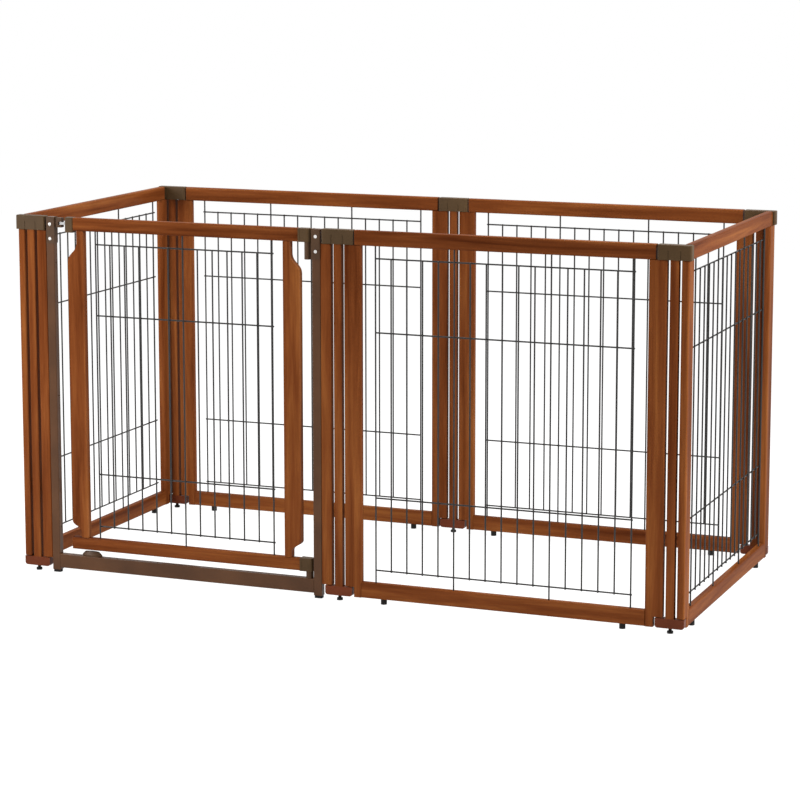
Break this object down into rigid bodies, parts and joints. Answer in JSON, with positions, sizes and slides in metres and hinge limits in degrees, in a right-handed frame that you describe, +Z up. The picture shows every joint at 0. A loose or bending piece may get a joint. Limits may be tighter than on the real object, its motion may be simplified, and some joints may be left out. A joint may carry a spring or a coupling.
{
  "type": "pet playpen",
  "caption": "Folding pet playpen of wooden framed wire panels joined by double-pivot links, with a hinged door panel.",
  "frame": {"origin": "middle of the pen's plan, on the floor", "axes": "+X along the front row to the right seen from the front, +Y from the front row to the back row, +Z up"},
  "size_m": [1.54, 0.708, 0.8],
  "materials": {
    "wood": "satin lacquer",
    "wire": "satin",
    "frame_steel": "satin",
    "cap_plastic": "matte",
    "bracket_plastic": "matte",
    "block_plastic": "satin",
    "rubber": "matte",
    "screw_steel": "polished",
    "pin_steel": "satin"
  },
  "bodies": {
    "door_frame": {"door_frame_wood_posts": "wood", "door_frame_steel_posts": "frame_steel", "door_frame_threshold": "frame_steel", "door_frame_pads": "rubber", "latch_bracket": "bracket_plastic", "hinge_bracket_and_bush": "bracket_plastic", "bracket_screws": "screw_steel"},
    "door_leaf": {"leaf_rails": "wood", "leaf_stiles": "wood", "leaf_grille": "wire", "leaf_latch_cap": "cap_plastic", "leaf_hinge_sockets": "cap_plastic", "leaf_hinge_pins": "pin_steel"},
    "latch_bolt": {"latch_bolt": "pin_steel"},
    "threshold_turn_stop": {"threshold_turn_stop": "bracket_plastic"},
    "front_right_panel": {"front_right_panel_stiles": "wood", "front_right_panel_rails": "wood", "front_right_panel_grille": "wire", "front_right_panel_feet": "rubber"},
    "right_side_panel": {"right_side_panel_stiles": "wood", "right_side_panel_rails": "wood", "right_side_panel_grille": "wire", "right_side_panel_feet": "rubber"},
    "back_right_panel": {"back_right_panel_stiles": "wood", "back_right_panel_rails": "wood", "back_right_panel_grille": "wire", "back_right_panel_feet": "rubber"},
    "back_left_panel": {"back_left_panel_stiles": "wood", "back_left_panel_rails": "wood", "back_left_panel_grille": "wire", "back_left_panel_feet": "rubber"},
    "left_side_panel": {"left_side_panel_stiles": "wood", "left_side_panel_rails": "wood", "left_side_panel_grille": "wire", "left_side_panel_feet": "rubber"},
    "front_left_link": {"front_left_link_cap": "cap_plastic", "front_left_link_post": "wood", "front_left_link_block": "block_plastic", "front_left_link_foot": "rubber"},
    "front_middle_link": {"front_middle_link_cap": "cap_plastic", "front_middle_link_post": "wood", "front_middle_link_block": "block_plastic", "front_middle_link_foot": "rubber"},
    "front_right_link": {"front_right_link_cap": "cap_plastic", "front_right_link_post": "wood", "front_right_link_block": "block_plastic", "front_right_link_foot": "rubber"},
    "back_right_link": {"back_right_link_cap": "cap_plastic", "back_right_link_post": "wood", "back_right_link_block": "block_plastic", "back_right_link_foot": "rubber"},
    "back_middle_link": {"back_middle_link_cap": "cap_plastic", "back_middle_link_post": "wood", "back_middle_link_block": "block_plastic", "back_middle_link_foot": "rubber"},
    "back_left_link": {"back_left_link_cap": "cap_plastic", "back_left_link_post": "wood", "back_left_link_block": "block_plastic", "back_left_link_foot": "rubber"}
  },
  "joints": [
    {"name": "front_middle_link_at_door", "type": "hinge", "parent": "door_frame", "child": "front_middle_link", "pos_m": [-0.023, -0.344, 0], "axis": [0, 0, 1], "range_deg": [-30, 30]},
    {"name": "front_right_panel_at_middle_link", "type": "hinge", "parent": "front_middle_link", "child": "front_right_panel", "pos_m": [0.023, -0.344, 0], "axis": [0, 0, 1], "range_deg": [-45, 45]},
    {"name": "front_right_link_at_front_panel", "type": "hinge", "parent": "front_right_panel", "child": "front_right_link", "pos_m": [0.711, -0.344, 0], "axis": [0, 0, 1], "range_deg": [-45, 45]},
    {"name": "right_side_panel_at_front_link", "type": "hinge", "parent": "front_right_link", "child": "right_side_panel", "pos_m": [0.757, -0.344, 0], "axis": [0, 0, 1], "range_deg": [-25, 25]},
    {"name": "back_right_link_at_side_panel", "type": "hinge", "parent": "right_side_panel", "child": "back_right_link", "pos_m": [0.757, 0.344, 0], "axis": [0, 0, 1], "range_deg": [-25, 25]},
    {"name": "back_right_panel_at_corner_link", "type": "hinge", "parent": "back_right_link", "child": "back_right_panel", "pos_m": [0.711, 0.344, 0], "axis": [0, 0, 1], "range_deg": [-45, 45]},
    {"name": "back_middle_link_at_right_panel", "type": "hinge", "parent": "back_right_panel", "child": "back_middle_link", "pos_m": [0.023, 0.344, 0], "axis": [0, 0, 1], "range_deg": [-45, 45]},
    {"name": "front_left_link_at_door", "type": "hinge", "parent": "door_frame", "child": "front_left_link", "pos_m": [-0.711, -0.344, 0], "axis": [0, 0, 1], "range_deg": [-30, 30]},
    {"name": "left_side_panel_at_front_link", "type": "hinge", "parent": "front_left_link", "child": "left_side_panel", "pos_m": [-0.757, -0.344, 0], "axis": [0, 0, 1], "range_deg": [-25, 25]},
    {"name": "back_left_link_at_side_panel", "type": "hinge", "parent": "left_side_panel", "child": "back_left_link", "pos_m": [-0.757, 0.344, 0], "axis": [0, 0, 1], "range_deg": [-25, 25]},
    {"name": "back_left_panel_at_corner_link", "type": "hinge", "parent": "back_left_link", "child": "back_left_panel", "pos_m": [-0.711, 0.344, 0], "axis": [0, 0, 1], "range_deg": [-30, 30]},
    {"name": "door_leaf_swing", "type": "hinge", "parent": "door_frame", "child": "door_leaf", "pos_m": [-0.07, -0.344, 0], "axis": [0, 0, 1], "range_deg": [0, 90]},
    {"name": "latch_bolt_slide", "type": "slide", "parent": "door_leaf", "child": "latch_bolt", "axis": [1, 0, 0], "range_m": [0, 0.009]},
    {"name": "threshold_stop_turn", "type": "hinge", "parent": "door_frame", "child": "threshold_turn_stop", "pos_m": [-0.5985, -0.344, 0], "axis": [0, 0, 1], "range_deg": [0, 90]}
  ],
  "couplings": [
    {"joint": "front_left_link_at_door", "follows": "front_middle_link_at_door", "ratio": 1},
    {"joint": "back_left_panel_at_corner_link", "follows": "front_middle_link_at_door", "ratio": -1},
    {"joint": "front_right_link_at_front_panel", "follows": "front_right_panel_at_middle_link", "ratio": -1},
    {"joint": "back_right_panel_at_corner_link", "follows": "front_right_panel_at_middle_link", "ratio": 1},
    {"joint": "back_middle_link_at_right_panel", "follows": "front_right_panel_at_middle_link", "ratio": -1},
    {"joint": "back_right_link_at_side_panel", "follows": "right_side_panel_at_front_link", "ratio": -1},
    {"joint": "left_side_panel_at_front_link", "follows": "right_side_panel_at_front_link", "ratio": 1},
    {"joint": "back_left_link_at_side_panel", "follows": "right_side_panel_at_front_link", "ratio": -1}
  ]
}
